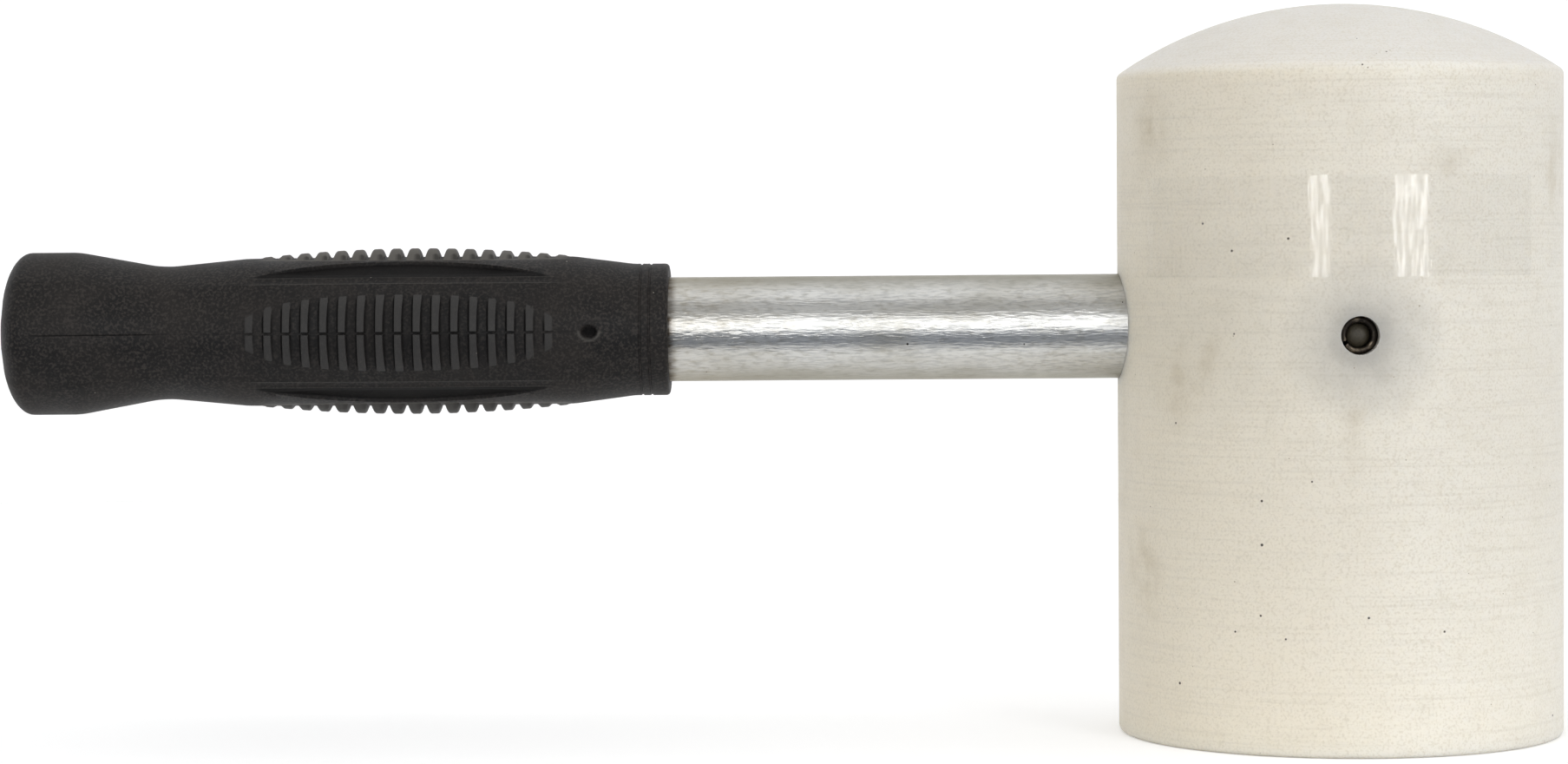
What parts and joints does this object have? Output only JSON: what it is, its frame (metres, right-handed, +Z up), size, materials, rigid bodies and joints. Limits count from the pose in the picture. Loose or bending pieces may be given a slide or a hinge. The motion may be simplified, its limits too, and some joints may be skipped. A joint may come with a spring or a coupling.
{
  "type": "soft face hammer",
  "caption": "Paving mallet with a solid nylon head, domed on one face and flat on the other, on a plated steel tube handle with a ribbed rubber grip.",
  "frame": {"origin": "centre of the flat striking face, on which the mallet stands", "axes": "+Z up the axis of the head to its domed face, the handle runs along -X, and -Y is the side with the label film"},
  "size_m": [0.318, 0.0901, 0.148],
  "materials": {
    "nylon": "natural off-white nylon, turned, with fine tool marks",
    "plated_steel": "bright zinc plating on drawn tube",
    "rubber": "matt moulded black rubber",
    "pin_steel": "dark phosphated spring steel",
    "clear_film": "thin clear gloss film, bare"
  },
  "bodies": {
    "root": {"head": "nylon", "handle_tube": "plated_steel", "grip": "rubber", "cross_pin": "pin_steel", "label_film": "clear_film"}
  },
  "joints": []
}
